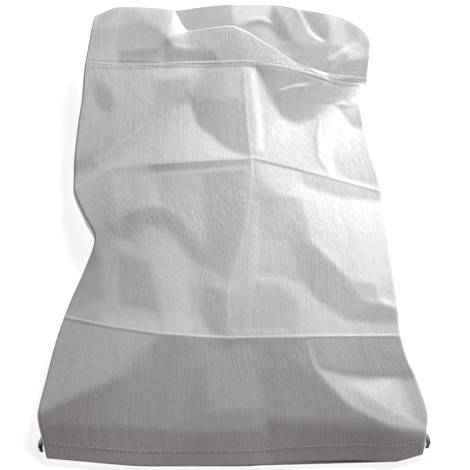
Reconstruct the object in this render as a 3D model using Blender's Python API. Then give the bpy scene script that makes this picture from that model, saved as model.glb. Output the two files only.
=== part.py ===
"""Rubble sack of white woven polypropylene, lying empty on the floor.

The sack is one flat tube of cloth. Its foot is folded up and sewn shut, and its mouth has a
wide hem. Here it is lofted through rows of points, from the foot to the rim of the mouth.
X is across the sack, Y runs from its foot to its mouth and Z is up, all in metres.
The threads that sew it are pieces of their own.
"""

import bpy
import numpy as np

# Where the sewing runs, measured from the foot's edge
FOOT_SEAM = 0.020
FOOT_FOLD = 0.028
HEM_SEAMS_APART = 0.010

# The cloth is drawn thicker than it is, as one wall, and thicker again in the hem
WALL = 0.0010
HEM_WALL = 0.0014
FOLD_ROUNDNESS = 0.8
FOLD_BULGE = 0.003
THREAD_RADIUS = 0.0005
THREAD_SIDES = 6
CLEARANCE = 0.0003

# The middle of the sack's box, in the frame that the rows are given in
MIDDLE_ACROSS = -0.0015
MIDDLE_ALONG = 0.4765

# Nine places across the sack, from its left fold to its right fold
COLUMNS = np.linspace(-1.0, 1.0, 9)

# Rows of the upper panel: distance from the foot, left fold, right fold, and the height of
# the cloth at the nine places. The slack cloth stands highest along its middle.
LOWER_CREASE = (
    0.216, -0.274, 0.256, (0.0150, 0.0295, 0.0360, 0.0385, 0.0405, 0.0400, 0.0395, 0.0305, 0.0195)
)
UPPER_CREASE = (
    0.585, -0.286, 0.246, (0.0250, 0.0280, 0.0365, 0.0415, 0.0405, 0.0390, 0.0320, 0.0250, 0.0110)
)
FOOT_ROWS = (
    (0.000, -0.270, 0.271, (0.0045, 0.0045, 0.0045, 0.0045, 0.0045, 0.0045, 0.0045, 0.0045, 0.0045)),
    (FOOT_SEAM, -0.272, 0.273, (0.0080, 0.0095, 0.0095, 0.0100, 0.0100, 0.0100, 0.0105, 0.0105, 0.0095)),
    (FOOT_FOLD, -0.274, 0.275, (0.0095, 0.0120, 0.0115, 0.0120, 0.0120, 0.0125, 0.0130, 0.0130, 0.0115)),
    (0.076, -0.289, 0.283, (0.0170, 0.0230, 0.0220, 0.0220, 0.0230, 0.0235, 0.0245, 0.0225, 0.0135)),
    (0.130, -0.284, 0.275, (0.0170, 0.0290, 0.0305, 0.0300, 0.0305, 0.0310, 0.0320, 0.0220, 0.0135)),
    (0.180, -0.279, 0.2605, (0.0160, 0.0295, 0.0360, 0.0365, 0.0370, 0.0380, 0.0380, 0.0270, 0.0175)),
    LOWER_CREASE,
)
MIDDLE_ROWS = (
    LOWER_CREASE,
    (0.270, -0.263, 0.2565, (0.0145, 0.0300, 0.0360, 0.0350, 0.0400, 0.0390, 0.0360, 0.0320, 0.0210)),
    (0.335, -0.2445, 0.256, (0.0165, 0.0330, 0.0380, 0.0330, 0.0385, 0.0370, 0.0370, 0.0300, 0.0170)),
    (0.387, -0.233, 0.255, (0.0235, 0.0345, 0.0370, 0.0350, 0.0380, 0.0360, 0.0355, 0.0280, 0.0150)),
    (0.440, -0.256, 0.255, (0.0245, 0.0345, 0.0410, 0.0380, 0.0385, 0.0360, 0.0330, 0.0260, 0.0130)),
    (0.505, -0.281, 0.255, (0.0210, 0.0325, 0.0400, 0.0425, 0.0405, 0.0375, 0.0320, 0.0250, 0.0110)),
    UPPER_CREASE,
)
NECK_ROWS = (
    UPPER_CREASE,
    (0.640, -0.2865, 0.2385, (0.0280, 0.0305, 0.0325, 0.0375, 0.0405, 0.0400, 0.0320, 0.0255, 0.0110)),
    (0.705, -0.2845, 0.236, (0.0330, 0.0340, 0.0350, 0.0360, 0.0450, 0.0425, 0.0360, 0.0275, 0.0130)),
)

# Rows of the mouth, where the cloth leaves the floor: across, along and height at each place.
# To the right the upper hem has dropped into the mouth, so the upper panel ends by its seams.
HEM_SEAM_UPPER_PANEL = (
    (-0.286, 0.806, 0.0400), (-0.236, 0.794, 0.0405), (-0.165, 0.790, 0.0385),
    (-0.085, 0.789, 0.0400), (-0.004, 0.787, 0.0470), (0.064, 0.783, 0.0480),
    (0.127, 0.766, 0.0445), (0.190, 0.750, 0.0340), (0.246, 0.763, 0.0095),
)
RIM_UPPER_PANEL = (
    (-0.280, 0.932, 0.0440), (-0.232, 0.949, 0.0570), (-0.163, 0.943, 0.0590),
    (-0.0885, 0.882, 0.0470), (-0.010, 0.891, 0.0520), (0.062, 0.841, 0.0510),
    (0.130, 0.784, 0.0465), (0.193, 0.769, 0.0375), (0.252, 0.781, 0.0130),
)
HEM_SEAM_LOWER_PANEL = (
    (-0.286, 0.806, 0.0200), (-0.225, 0.815, 0.0140), (-0.160, 0.820, 0.0110),
    (-0.080, 0.822, 0.0120), (0.005, 0.822, 0.0130), (0.080, 0.820, 0.0120),
    (0.155, 0.812, 0.0100), (0.225, 0.795, 0.0070), (0.246, 0.763, 0.0040),
)
RIM_LOWER_PANEL = (
    (-0.280, 0.932, 0.0405), (-0.205, 0.948, 0.0320), (-0.120, 0.953, 0.0390),
    (-0.030, 0.953, 0.0530), (0.060, 0.952, 0.0580), (0.140, 0.941, 0.0510),
    (0.215, 0.920, 0.0410), (0.264, 0.868, 0.0280), (0.252, 0.781, 0.0085),
)

# The underside lies flat on the floor, but for the foot, which rides over its own thread
FOOT_CLEARS_FLOOR = 0.0016
FOOT_LANDS_AT = 0.050

# Spans of the mesh
SPANS_ACROSS = 16
SPANS_EACH_ROW = 2
SPANS_TO_HEM_SEAM = 3
SPANS_IN_HEM = 4

# Loose ends of the foot's threads, from the left end of the seam: across, along and height
NEEDLE_TAIL = ((-0.0045, -0.0010, 0.0032), (-0.0080, -0.0032, 0.0008), (-0.0125, -0.0042, 0.0007))
LOOPER_TAIL = (
    (-0.0050, 0.0015, 0.0008), (-0.0085, 0.0080, 0.0007), (-0.0120, 0.0170, 0.0007), (-0.0125, 0.0270, 0.0007)
)
SPANS_EACH_TAIL_POINT = 2


def remove_everything():
    """Takes every object out of the open scene."""
    for thing in list(bpy.data.objects):
        bpy.data.objects.remove(thing, do_unlink=True)


def slopes_of(knots, values):
    """Slopes at the knots of a curve that never overshoots: harmonic mean of both sides, none at a turn."""
    chord = np.diff(values, axis=0) / np.diff(knots)[:, None]
    before = chord[:-1]
    after = chord[1:]
    same_way = before * after > 0
    total = np.where(same_way, before + after, 1.0)
    inner = np.where(same_way, 2.0 * before * after / total, 0.0)
    return np.vstack([chord[:1], inner, chord[-1:]])


def curve_through(knots, values, places):
    """Cubic through the values at the knots, one row of values for each knot, read at the places."""
    knots = np.asarray(knots, dtype=float)
    values = np.asarray(values, dtype=float)
    slopes = slopes_of(knots, values)
    span = np.clip(np.searchsorted(knots, places, side="right") - 1, 0, len(knots) - 2)
    length = (knots[span + 1] - knots[span])[:, None]
    f = (places - knots[span])[:, None] / length
    start_part = (1 + 2 * f) * (1 - f) ** 2 * values[span] + f * (1 - f) ** 2 * slopes[span] * length
    end_part = f**2 * (3 - 2 * f) * values[span + 1] - f**2 * (1 - f) * slopes[span + 1] * length
    return start_part + end_part


def across(points):
    """Nine points of a row, read at every span from the left fold to the right fold."""
    return curve_through(COLUMNS, points, np.linspace(-1.0, 1.0, SPANS_ACROSS + 1))


def points_of(row):
    """The nine points of the upper panel for one row of heights."""
    along, left, right, heights = row
    x = left + (right - left) * (COLUMNS + 1.0) / 2.0
    return np.column_stack([x, np.full(len(COLUMNS), along), heights])


def body_rows(rows):
    """Rows of the upper panel through a stretch between creases, so many for each given row."""
    stations = [row[0] for row in rows]
    steps = np.arange((len(rows) - 1) * SPANS_EACH_ROW + 1) / SPANS_EACH_ROW
    places = np.interp(steps, np.arange(len(rows)), stations)
    given = np.array([points_of(row).ravel() for row in rows])
    return curve_through(stations, given, places).reshape(-1, len(COLUMNS), 3)


def mouth_rows(last_row, seam, rim):
    """Rows from the last one of the body through both hem seams to the rim."""
    seam = np.array(seam)
    rim = np.array(rim)
    reach = rim - seam
    upper_seam = seam + reach * HEM_SEAMS_APART / np.linalg.norm(reach, axis=1)[:, None]
    knots = (0.0, 1.0, 1.2, 2.2)
    given = [last_row.ravel(), seam.ravel(), upper_seam.ravel(), rim.ravel()]
    to_seam = np.linspace(knots[0], knots[1], SPANS_TO_HEM_SEAM + 1)[1:]
    hem = np.linspace(knots[2], knots[3], SPANS_IN_HEM + 1)
    places = np.concatenate([to_seam, hem])
    return curve_through(knots, given, places).reshape(-1, len(COLUMNS), 3)


def fold_point(over, under, side):
    """The outermost point of a side fold: half way down it, and out by its own roundness."""
    bulge = min(abs(over[2] - under[2]) / 2 * FOLD_ROUNDNESS, FOLD_BULGE)
    return (over + under) / 2 + (side * bulge, 0.0, 0.0)


def outer_rings():
    """Rings of points round the outside of the cloth, from the foot to the rim, and how many are body."""
    body = np.concatenate([body_rows(FOOT_ROWS), body_rows(MIDDLE_ROWS)[1:], body_rows(NECK_ROWS)[1:]])
    landing = np.clip((FOOT_LANDS_AT - body[:, :, 1]) / (FOOT_LANDS_AT - FOOT_FOLD), 0.0, 1.0)
    under = np.dstack([body[:, :, 0], body[:, :, 1], FOOT_CLEARS_FLOOR * landing])
    upper = np.concatenate([body, mouth_rows(body[-1], HEM_SEAM_UPPER_PANEL, RIM_UPPER_PANEL)])
    lower = np.concatenate([under, mouth_rows(under[-1], HEM_SEAM_LOWER_PANEL, RIM_LOWER_PANEL)])
    rings = []
    for upper_row, lower_row in zip(upper, lower):
        top = across(upper_row)
        bottom = across(lower_row)[::-1]
        right_fold = fold_point(top[-1], bottom[0], 1.0)
        left_fold = fold_point(top[0], bottom[-1], -1.0)
        rings.append(np.vstack([top, right_fold, bottom, left_fold]))
    return np.array(rings) - (MIDDLE_ACROSS, MIDDLE_ALONG, 0.0), len(body)


def outward(rings):
    """Unit normals of the rings: the step round the sack crossed with the step along it."""
    round_step = np.roll(rings, -1, axis=1) - np.roll(rings, 1, axis=1)
    normal = np.cross(round_step, np.gradient(rings, axis=0))
    return normal / np.linalg.norm(normal, axis=2, keepdims=True)


def skin(first, rows, points):
    """Quads between neighbouring rings, whose first point has the number first, facing outwards."""
    faces = []
    for row in range(rows - 1):
        start = first + row * points
        for point in range(points):
            following = (point + 1) % points
            faces.append((start + point, start + following, start + points + following, start + points + point))
    return faces


def end_of(first):
    """Faces that close one ring from its upper to its lower panel, facing the mouth."""
    last = SPANS_ACROSS
    partner = 2 * last + 2
    faces = [
        (first + i, first + i + 1, first + partner - i - 1, first + partner - i) for i in range(last)
    ]
    faces.append((first + last, first + last + 1, first + last + 2))
    faces.append((first + partner + 1, first, first + partner))
    return faces


def turned(faces):
    """The same faces, looking the other way."""
    return [face[::-1] for face in faces]


def tube(path, up, closed):
    """A thread of round section along a path, with up as the direction each section starts from."""
    path = np.asarray(path)
    if closed:
        tangent = np.roll(path, -1, axis=0) - np.roll(path, 1, axis=0)
    else:
        tangent = np.gradient(path, axis=0)
    tangent /= np.linalg.norm(tangent, axis=1, keepdims=True)
    first_side = up - tangent * np.sum(up * tangent, axis=1, keepdims=True)
    first_side /= np.linalg.norm(first_side, axis=1, keepdims=True)
    second_side = np.cross(tangent, first_side)
    angles = np.linspace(0.0, 2.0 * np.pi, THREAD_SIDES, endpoint=False)
    circle = (
        np.cos(angles)[None, :, None] * first_side[:, None, :]
        + np.sin(angles)[None, :, None] * second_side[:, None, :]
    )
    points = path[:, None, :] + THREAD_RADIUS * circle
    faces = skin(0, len(path), THREAD_SIDES)
    if closed:
        start = (len(path) - 1) * THREAD_SIDES
        for side in range(THREAD_SIDES):
            following = (side + 1) % THREAD_SIDES
            faces.append((start + side, start + following, following, side))
    else:
        faces.append(tuple(range(THREAD_SIDES))[::-1])
        faces.append(tuple(range((len(path) - 1) * THREAD_SIDES, len(path) * THREAD_SIDES)))
    return points.reshape(-1, 3), faces


def material(name, colour, roughness):
    """A plain plastic finish."""
    finish = bpy.data.materials.new(name)
    finish.use_nodes = True
    shader = finish.node_tree.nodes["Principled BSDF"]
    shader.inputs["Base Color"].default_value = (*colour, 1.0)
    shader.inputs["Roughness"].default_value = roughness
    shader.inputs["Metallic"].default_value = 0.0
    return finish


def add_piece(name, vertices, faces, finish):
    """Puts a mesh into the scene under the name."""
    mesh = bpy.data.meshes.new(name)
    mesh.from_pydata([tuple(v) for v in vertices], [], faces)
    mesh.shade_smooth()
    mesh.materials.append(finish)
    piece = bpy.data.objects.new(name, mesh)
    bpy.context.scene.collection.objects.link(piece)
    return piece


def add_sack(rings, normals, body_count):
    """The cloth: an outer and an inner skin, joined at the rim and each closed at the foot."""
    rows, points = rings.shape[:2]
    fold_row = FOOT_ROWS.index(next(row for row in FOOT_ROWS if row[0] == FOOT_FOLD)) * SPANS_EACH_ROW
    wall = np.full(rows, WALL)
    wall[body_count + SPANS_TO_HEM_SEAM - 1:] = HEM_WALL
    inner = (rings - normals * wall[:, None, None])[fold_row:]
    first_inner = rows * points
    outer_rim = (rows - 1) * points
    inner_rim = first_inner + (len(inner) - 1) * points
    faces = skin(0, rows, points) + turned(end_of(0))
    faces += turned(skin(first_inner, len(inner), points)) + end_of(first_inner)
    for point in range(points):
        following = (point + 1) % points
        faces.append((outer_rim + point, outer_rim + following, inner_rim + following, inner_rim + point))
    vertices = np.concatenate([rings.reshape(-1, 3), inner.reshape(-1, 3)])
    add_piece("woven_sack", vertices, faces, material("woven_polypropylene", (0.76, 0.75, 0.75), 0.42))


def add_hem_threads(rings, normals, body_count):
    """Two rows of stitches round the mouth, which hold the hem down."""
    white = material("white_thread", (0.80, 0.79, 0.78), 0.55)
    lower_row = body_count + SPANS_TO_HEM_SEAM - 1
    for name, row in (("hem_thread_lower", lower_row), ("hem_thread_upper", lower_row + 1)):
        path = rings[row] + normals[row] * (THREAD_RADIUS + CLEARANCE)
        add_piece(name, *tube(path, normals[row], closed=True), white)


def loose_end(corner, tail, mirror):
    """A thread's loose end as a smooth run of points away from the corner of the foot."""
    points = np.array(tail) * (mirror, 1.0, 1.0) + (corner[0], corner[1], 0.0)
    steps = np.arange(len(points), dtype=float)
    places = np.linspace(0.0, len(points) - 1.0, (len(points) - 1) * SPANS_EACH_TAIL_POINT + 1)
    return curve_through(steps, points, places)


def add_foot_threads(rings, normals):
    """The chain stitch that shuts the foot: one thread on the face of the sack, the other one under it."""
    row = SPANS_EACH_ROW
    last = SPANS_ACROSS
    left_corner = rings[row][2 * last + 3]
    right_corner = rings[row][last + 1]
    lifted = rings[row] + normals[row] * (THREAD_RADIUS + CLEARANCE)
    over = lifted[: last + 1]
    under = lifted[last + 2: 2 * last + 3][::-1]
    white = material("white_foot_thread", (0.80, 0.79, 0.78), 0.55)
    dark = material("dark_foot_thread", (0.05, 0.05, 0.05), 0.60)
    for name, run, tail, finish in (
        ("foot_needle_thread", over, NEEDLE_TAIL, white),
        ("foot_looper_thread", under, LOOPER_TAIL, dark),
    ):
        left_end = loose_end(left_corner, tail, 1.0)[::-1]
        right_end = loose_end(right_corner, tail, -1.0)
        path = np.vstack([left_end, run, right_end])
        up = np.tile((0.0, 0.0, 1.0), (len(path), 1))
        add_piece(name, *tube(path, up, closed=False), finish)


def main():
    """Builds the sack and its threads."""
    remove_everything()
    rings, body_count = outer_rings()
    normals = outward(rings)
    add_sack(rings, normals, body_count)
    add_hem_threads(rings, normals, body_count)
    add_foot_threads(rings, normals)


main()
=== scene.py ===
# %% [markdown]
# # An empty rubble sack on a studio floor
# The object is one flat tube of cloth woven from white polypropylene tape. It was packed
# folded, so two creases cross it. Its foot is turned under and sewn, and its mouth has a wide
# hem. Cloth can be dropped on a floor and left to a simulation, but it would not fold as this
# one did. So this lesson works every surface out with numpy and hands it to Blender.

# %% Load the solid model
import math

import bpy
import numpy as np
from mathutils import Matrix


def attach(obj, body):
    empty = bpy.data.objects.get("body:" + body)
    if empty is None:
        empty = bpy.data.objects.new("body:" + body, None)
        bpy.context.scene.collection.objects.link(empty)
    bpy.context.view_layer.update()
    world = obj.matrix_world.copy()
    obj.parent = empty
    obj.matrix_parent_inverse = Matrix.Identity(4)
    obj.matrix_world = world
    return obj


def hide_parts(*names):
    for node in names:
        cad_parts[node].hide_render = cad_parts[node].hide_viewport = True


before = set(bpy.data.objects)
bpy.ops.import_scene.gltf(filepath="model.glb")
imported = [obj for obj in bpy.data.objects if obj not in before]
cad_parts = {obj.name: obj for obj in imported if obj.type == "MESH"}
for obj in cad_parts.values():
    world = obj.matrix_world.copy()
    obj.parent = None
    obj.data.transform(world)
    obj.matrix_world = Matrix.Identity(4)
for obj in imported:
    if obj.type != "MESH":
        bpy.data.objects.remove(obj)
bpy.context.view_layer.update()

# %% [markdown]
# ## The camera
# The photograph was taken standing at the foot and looking down. A pinhole camera has four
# numbers that matter here: how far back and how high it stands, how far it looks down and how
# long its lens is. `picture_place` is the same camera as a formula, so that a fold can be put
# where the photograph shows it.

# %% The camera
PICTURE_SIDE = 470
PICTURE_MIDDLE = PICTURE_SIDE / 2
FOCAL_PIXELS = 915.0
SENSOR_WIDTH = 36.0
CAMERA_PLACE = np.array((0.0015, -0.9905, 1.257))
CAMERA_PITCH = math.radians(36.5)
LOOK = np.array((0.0, math.sin(CAMERA_PITCH), -math.cos(CAMERA_PITCH)))
LIFT = np.array((0.0, math.cos(CAMERA_PITCH), math.sin(CAMERA_PITCH)))


def picture_place(points):
    """Where points fall in the picture: sideways and upwards offset over depth, times the focal length."""
    offset = points - CAMERA_PLACE
    depth = offset @ LOOK
    right = PICTURE_MIDDLE + FOCAL_PIXELS * offset[..., 0] / depth
    down = PICTURE_MIDDLE - FOCAL_PIXELS * (offset @ LIFT) / depth
    return np.stack([right, down], axis=-1)


def placed(name, data):
    """An object that holds the data, in the scene and at its origin."""
    made = bpy.data.objects.new(name, data)
    bpy.context.scene.collection.objects.link(made)
    return made


camera_data = bpy.data.cameras.new("camera")
camera_data.sensor_width = SENSOR_WIDTH
camera_data.lens = FOCAL_PIXELS * SENSOR_WIDTH / PICTURE_SIDE
camera = placed("camera", camera_data)
camera.location = CAMERA_PLACE
camera.rotation_euler = (CAMERA_PITCH, 0.0, 0.0)
bpy.context.scene.camera = camera
print("lens in mm", round(camera_data.lens, 2))

# %% [markdown]
# ## The lie of the cloth
# Each row crosses the sack at one distance from the foot and gives the height of the upper
# panel at nine places. A cubic that never overshoots joins them, so a bump stays where it was
# put. They are nearly the rows of the solid model: a few points at the rim, the hem's left end
# and the foot's edge were moved by up to 33 mm to fit the picture better. The foot's edge also
# gets the wave that the photograph shows.

# %% Rows of the sack
MIDDLE = np.array((-0.0015, 0.4765, 0.0))
HEM_SEAMS_APART = 0.010
FOOT_SEAM = 0.020
FOOT_FOLD = 0.028
NINE = np.linspace(-1.0, 1.0, 9)
LOWER_CREASE = 0.216
UPPER_CREASE = 0.585
NECK_END = 0.705
BODY_ROWS = (
    (0.000, -0.271, 0.271, (0.0045,) * 9),
    (FOOT_SEAM, -0.276, 0.275, (0.0080, 0.0095, 0.0095, 0.0100, 0.0100, 0.0100, 0.0105, 0.0105, 0.0095)),
    (FOOT_FOLD, -0.279, 0.277, (0.0095, 0.0120, 0.0115, 0.0120, 0.0120, 0.0125, 0.0130, 0.0130, 0.0115)),
    (0.076, -0.289, 0.283, (0.0170, 0.0230, 0.0220, 0.0220, 0.0230, 0.0235, 0.0245, 0.0225, 0.0135)),
    (0.130, -0.284, 0.275, (0.0170, 0.0290, 0.0305, 0.0300, 0.0305, 0.0310, 0.0320, 0.0220, 0.0135)),
    (0.180, -0.279, 0.2605, (0.0160, 0.0295, 0.0360, 0.0365, 0.0370, 0.0380, 0.0380, 0.0270, 0.0175)),
    (LOWER_CREASE, -0.274, 0.256, (0.0150, 0.0295, 0.0360, 0.0385, 0.0405, 0.0400, 0.0395, 0.0305, 0.0195)),
    (0.270, -0.263, 0.2565, (0.0145, 0.0300, 0.0360, 0.0350, 0.0400, 0.0390, 0.0360, 0.0320, 0.0210)),
    (0.335, -0.2445, 0.256, (0.0165, 0.0330, 0.0380, 0.0330, 0.0385, 0.0370, 0.0370, 0.0300, 0.0170)),
    (0.387, -0.233, 0.255, (0.0235, 0.0345, 0.0370, 0.0350, 0.0380, 0.0360, 0.0355, 0.0280, 0.0150)),
    (0.440, -0.256, 0.255, (0.0245, 0.0345, 0.0410, 0.0380, 0.0385, 0.0360, 0.0330, 0.0260, 0.0130)),
    (0.505, -0.281, 0.255, (0.0210, 0.0325, 0.0400, 0.0425, 0.0405, 0.0375, 0.0320, 0.0250, 0.0110)),
    (UPPER_CREASE, -0.286, 0.246, (0.0250, 0.0280, 0.0365, 0.0415, 0.0405, 0.0390, 0.0320, 0.0250, 0.0110)),
    (0.640, -0.2865, 0.2385, (0.0280, 0.0305, 0.0325, 0.0375, 0.0405, 0.0400, 0.0320, 0.0255, 0.0110)),
    (NECK_END, -0.2845, 0.236, (0.0330, 0.0340, 0.0350, 0.0360, 0.0450, 0.0425, 0.0360, 0.0275, 0.0130)),
)
UPPER_SEAM = (
    (-0.286, 0.792, 0.0400), (-0.236, 0.789, 0.0405), (-0.165, 0.790, 0.0385),
    (-0.085, 0.789, 0.0400), (-0.004, 0.787, 0.0470), (0.064, 0.783, 0.0480),
    (0.127, 0.766, 0.0445), (0.190, 0.750, 0.0340), (0.246, 0.763, 0.0095),
)
UPPER_RIM = (
    (-0.280, 0.932, 0.0440), (-0.230, 0.949, 0.0570), (-0.130, 0.938, 0.0590),
    (-0.0885, 0.882, 0.0470), (-0.010, 0.891, 0.0520), (0.062, 0.841, 0.0510),
    (0.130, 0.784, 0.0465), (0.193, 0.769, 0.0375), (0.252, 0.781, 0.0130),
)
LOWER_SEAM = (
    (-0.286, 0.792, 0.0200), (-0.225, 0.812, 0.0140), (-0.160, 0.820, 0.0110),
    (-0.080, 0.822, 0.0120), (0.005, 0.822, 0.0130), (0.080, 0.820, 0.0120),
    (0.155, 0.812, 0.0100), (0.225, 0.795, 0.0070), (0.246, 0.763, 0.0040),
)
LOWER_RIM = (
    (-0.280, 0.932, 0.0405), (-0.205, 0.948, 0.0320), (-0.120, 0.953, 0.0390),
    (-0.030, 0.958, 0.0495), (0.060, 0.958, 0.0540), (0.140, 0.945, 0.0495),
    (0.219, 0.929, 0.0415), (0.268, 0.874, 0.0290), (0.255, 0.781, 0.0085),
)
FOOT_CLEARS_FLOOR = 0.0016
FOOT_LANDS_AT = 0.050
HEM_START = 1.0
HEM_SECOND_ROW = 1.2
HEM_END = 2.2
FOOT_WAVE = (
    (-1.0, -0.77, -0.45, 0.02, 0.33, 0.64, 0.82, 1.0),
    (0.0125, 0.0068, 0.0008, 0.0008, 0.0065, 0.0095, 0.0070, 0.0185),
)
FOOT_WAVE_ENDS = (0.02, 0.10)


def curve_through(knots, values, places):
    """Cubic through the values at the knots; the slope at a knot is the harmonic mean of both sides."""
    knots = np.asarray(knots, dtype=float)
    values = np.asarray(values, dtype=float)
    chord = np.diff(values, axis=0) / np.diff(knots)[:, None]
    before, after = chord[:-1], chord[1:]
    same_way = before * after > 0
    total = np.where(same_way, before + after, 1.0)
    slopes = np.vstack([chord[:1], np.where(same_way, 2.0 * before * after / total, 0.0), chord[-1:]])
    span = np.clip(np.searchsorted(knots, places, side="right") - 1, 0, len(knots) - 2)
    length = (knots[span + 1] - knots[span])[:, None]
    f = (places - knots[span])[:, None] / length
    start = (1 + 2 * f) * (1 - f) ** 2 * values[span] + f * (1 - f) ** 2 * slopes[span] * length
    return start + f**2 * (3 - 2 * f) * values[span + 1] - f**2 * (1 - f) * slopes[span + 1] * length


def body_points(row):
    """The nine points of the upper panel in one row."""
    along, left, right, heights = row
    x = left + (right - left) * (NINE + 1.0) / 2.0
    return np.column_stack([x, np.full(len(NINE), along), heights]).ravel()


def panel(body, seam, rim, v, u):
    """A panel at v along (metres up to the neck, then 0 to 2.2 through the hem) and u across."""
    stations = [row[0] for row in BODY_ROWS]
    seam = np.array(seam)
    rim = np.array(rim)
    reach = rim - seam
    second = seam + reach * HEM_SEAMS_APART / np.linalg.norm(reach, axis=1)[:, None]
    in_body = v <= NECK_END
    rows = np.empty((len(v), 3 * len(NINE)))
    rows[in_body] = curve_through(stations, body, v[in_body])
    given = [body[-1], seam.ravel(), second.ravel(), rim.ravel()]
    rows[~in_body] = curve_through((0.0, HEM_START, HEM_SECOND_ROW, HEM_END), given, v[~in_body] - NECK_END)
    nine = rows.reshape(-1, len(NINE), 3).transpose(1, 0, 2).reshape(len(NINE), -1)
    return curve_through(NINE, nine, u).reshape(len(u), len(v), 3).transpose(1, 0, 2) - MIDDLE


def with_foot_wave(grid):
    """Moves the foot's edge towards the mouth by a wave across it, which dies out along the sack."""
    wave = curve_through(FOOT_WAVE[0], np.array(FOOT_WAVE[1])[:, None], grid_u)[:, 0]
    f = np.clip((grid_s - FOOT_WAVE_ENDS[0]) / (FOOT_WAVE_ENDS[1] - FOOT_WAVE_ENDS[0]), 0.0, 1.0)
    grid[..., 1] += np.outer(1.0 - f * f * (3.0 - 2.0 * f), wave)
    return grid


UPPER_BODY = np.array([body_points(row) for row in BODY_ROWS])
LOWER_BODY = UPPER_BODY.copy()
landing = np.clip((FOOT_LANDS_AT - UPPER_BODY[:, 1::3]) / (FOOT_LANDS_AT - FOOT_FOLD), 0.0, 1.0)
LOWER_BODY[:, 2::3] = FOOT_CLEARS_FLOOR * landing
print("rows of the body", len(BODY_ROWS))

# %% [markdown]
# ## Two grids
# All shapes are worked out on one even grid over the flat cloth. The mesh then picks its
# points from it. Its rows crowd together at the two packing creases and follow them, because
# a fold only looks sharp where the mesh has a line along it.

# %% The even grid and the rows of the mesh
GRID_STEP = 0.0016
HEM_LENGTHS = (0.085, HEM_SEAMS_APART, 0.105)
SEAM_ALONG = NECK_END + HEM_LENGTHS[0]
SECOND_SEAM_ALONG = SEAM_ALONG + HEM_SEAMS_APART
CLOTH_LENGTH = NECK_END + sum(HEM_LENGTHS)
CLOTH_WIDTH = 0.545
COLUMNS = 196
COLUMNS_BELOW = 28
FINER_BELOW = 5
COARSER_INSIDE = 4
CREASE_ZONE = 0.008
CREASE_PLACES = (
    ((-1.0, -0.82, -0.64, -0.42, -0.2, 0.0, 0.24, 0.46, 0.73, 1.0),
     (0.241, 0.225, 0.212, 0.202, 0.1955, 0.1895, 0.1925, 0.1955, 0.199, 0.2055)),
    ((-1.0, -0.78, -0.46, 0.18, 0.43, 0.74, 1.0), (0.489, 0.5405, 0.537, 0.5535, 0.5405, 0.521, 0.502)),
)
LOWER_LINE = 0.200
UPPER_LINE = 0.540


def spread(knots, counts):
    """Evenly spaced places in each span between two knots."""
    parts = [np.linspace(a, b, n, endpoint=False) for a, b, n in zip(knots, knots[1:], counts)]
    return np.concatenate(parts + [[knots[-1]]])


def along_creases(places, u):
    """Rows bent so that the two crease lines fall on the places where the photograph shows them."""
    lower_at, upper_at = (np.interp(u, across, along) for across, along in CREASE_PLACES)
    given = (0.0, FOOT_FOLD, LOWER_LINE, UPPER_LINE, NECK_END, CLOTH_LENGTH)
    bent = [np.interp(places, given, (0.0, FOOT_FOLD, low, high, NECK_END, CLOTH_LENGTH))
            for low, high in zip(lower_at, upper_at)]
    return np.stack(bent, axis=1)


ROW_KNOTS = (
    0.0, FOOT_SEAM, FOOT_FOLD, LOWER_LINE - CREASE_ZONE, LOWER_LINE + CREASE_ZONE, UPPER_LINE - CREASE_ZONE,
    UPPER_LINE + CREASE_ZONE, NECK_END, SEAM_ALONG, SECOND_SEAM_ALONG, CLOTH_LENGTH,
)
ROW_COUNTS = (10, 5, 47, 12, 90, 12, 45, 28, 6, 46)
S = spread(ROW_KNOTS, ROW_COUNTS)
HEM_ROW = sum(ROW_COUNTS[:ROW_KNOTS.index(NECK_END)])
U = np.linspace(-1.0, 1.0, COLUMNS + 1)
U_BELOW = np.linspace(-1.0, 1.0, COLUMNS_BELOW + 1)
U_BELOW_HEM = np.linspace(-1.0, 1.0, COLUMNS_BELOW * FINER_BELOW + 1)
grid_s = np.linspace(0.0, CLOTH_LENGTH, int(round(CLOTH_LENGTH / GRID_STEP)) + 1)
grid_u = np.linspace(-1.0, 1.0, int(round(CLOTH_WIDTH / GRID_STEP)) + 1)
print("even grid", len(grid_s), "x", len(grid_u), "mesh rows", len(S), "columns", len(U))

# %% [markdown]
# ## Facets pressed into the cloth
# Woven plastic doesn't drape softly. It keeps flat facets with sharp edges, each leaning its
# own way. So the relief is drawn as facets: an outline in the picture, and how far that facet
# leans towards the window (0.1 is a rise of one in ten), which sets how light it looks. The
# heights that fit all the leans best are found by least squares. Sculpting would do it too,
# but a facet in a list can be moved and leaned again.

# %% Facet tools
WINDOW_AZIMUTH = 28.0
REACH = 1.2
RIM_REACH = 0.02
RIM_BAND = 0.012
FOLD_REACH = 0.05
SIDE_BAND = 0.02
LEAST_GAP = 0.0026
STEEPEST = 1.1
SIDEWAYS_WEIGHT = 0.12
BARE_WEIGHT = 0.1
OUTLINE_TURNS = 3
SOLVER_STEPS = 40
PADDING = 64
TINY = 1e-9
OWN_LEAN = 0.01


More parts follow.
